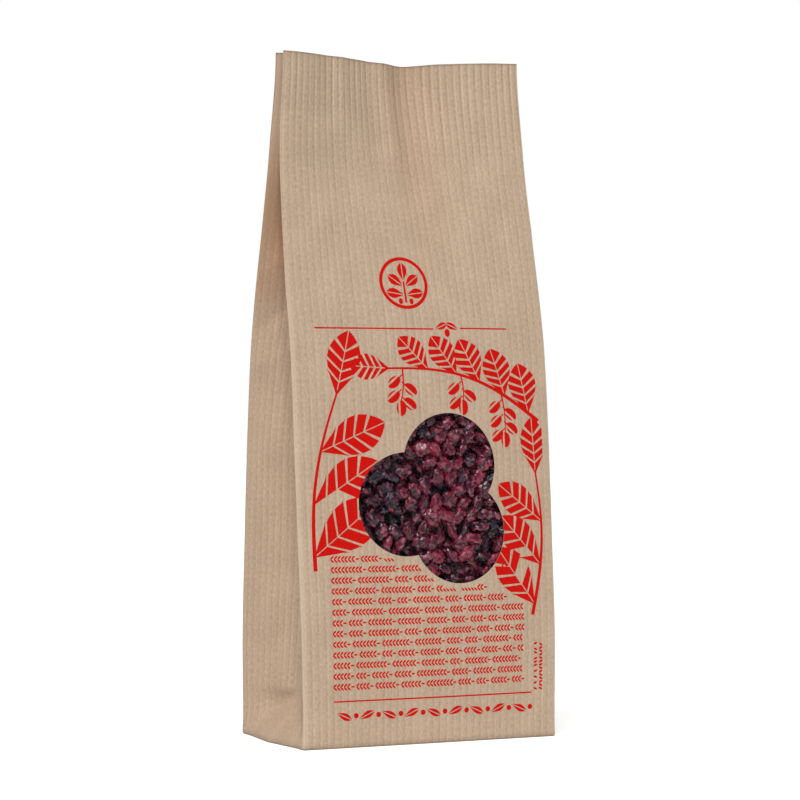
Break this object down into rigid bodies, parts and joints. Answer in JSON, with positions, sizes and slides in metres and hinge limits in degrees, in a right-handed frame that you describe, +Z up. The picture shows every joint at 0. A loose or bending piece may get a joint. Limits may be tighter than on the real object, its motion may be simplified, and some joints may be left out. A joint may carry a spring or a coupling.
{
  "type": "bag of dried barberries",
  "caption": "Upright block-bottom bag of ribbed brown paper with side folds, a pinched top and a clear lobed window that shows the dried barberries it is filled with.",
  "frame": {"origin": "middle of the base, on the surface that the bag stands on", "axes": "+Z up, +X to the right along the front as seen from the front, +Y from the front to the back; the window is on the -Y side"},
  "size_m": [0.092, 0.0539, 0.222],
  "materials": {
    "kraft_paper": "ribbed brown kraft paper, matt",
    "red_ink": "red flexographic ink on ribbed kraft paper",
    "clear_film": "thin clear glossy film",
    "dried_fruit": "dark red wrinkled dried berries with a soft gloss"
  },
  "bodies": {
    "root": {"paper_bag": "kraft_paper", "window_film": "clear_film", "barberries": "dried_fruit"}
  },
  "joints": []
}
